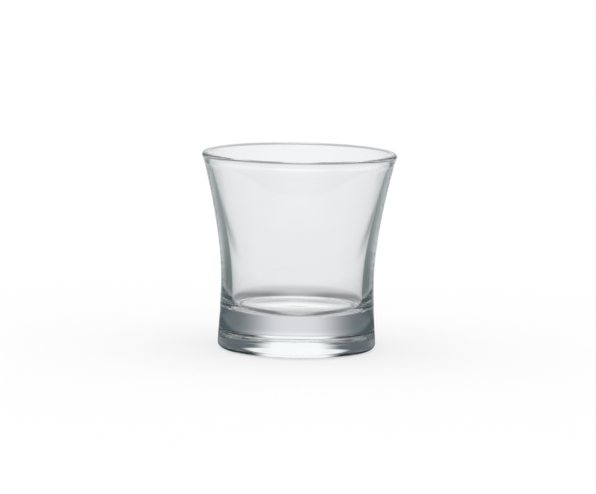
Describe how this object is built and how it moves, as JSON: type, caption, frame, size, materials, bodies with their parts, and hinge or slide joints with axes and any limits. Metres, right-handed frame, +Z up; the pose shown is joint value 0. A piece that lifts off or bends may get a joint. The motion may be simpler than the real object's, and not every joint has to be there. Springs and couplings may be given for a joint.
{
  "type": "sake cup",
  "caption": "Clear glass sake cup: a flared, concave bowl with a rounded lip on a thick, solid glass base that spreads slightly to the table.",
  "frame": {"origin": "middle of the underside, on the plane that the cup stands on", "axes": "+Z up along the axis that the cup is turned about; X and Y are alike"},
  "size_m": [0.062, 0.062, 0.0625],
  "materials": {
    "clear_glass": "clear, fire-polished, with a faint green-grey in its thick places"
  },
  "bodies": {
    "root": {"bowl": "clear_glass", "base": "clear_glass"}
  },
  "joints": []
}
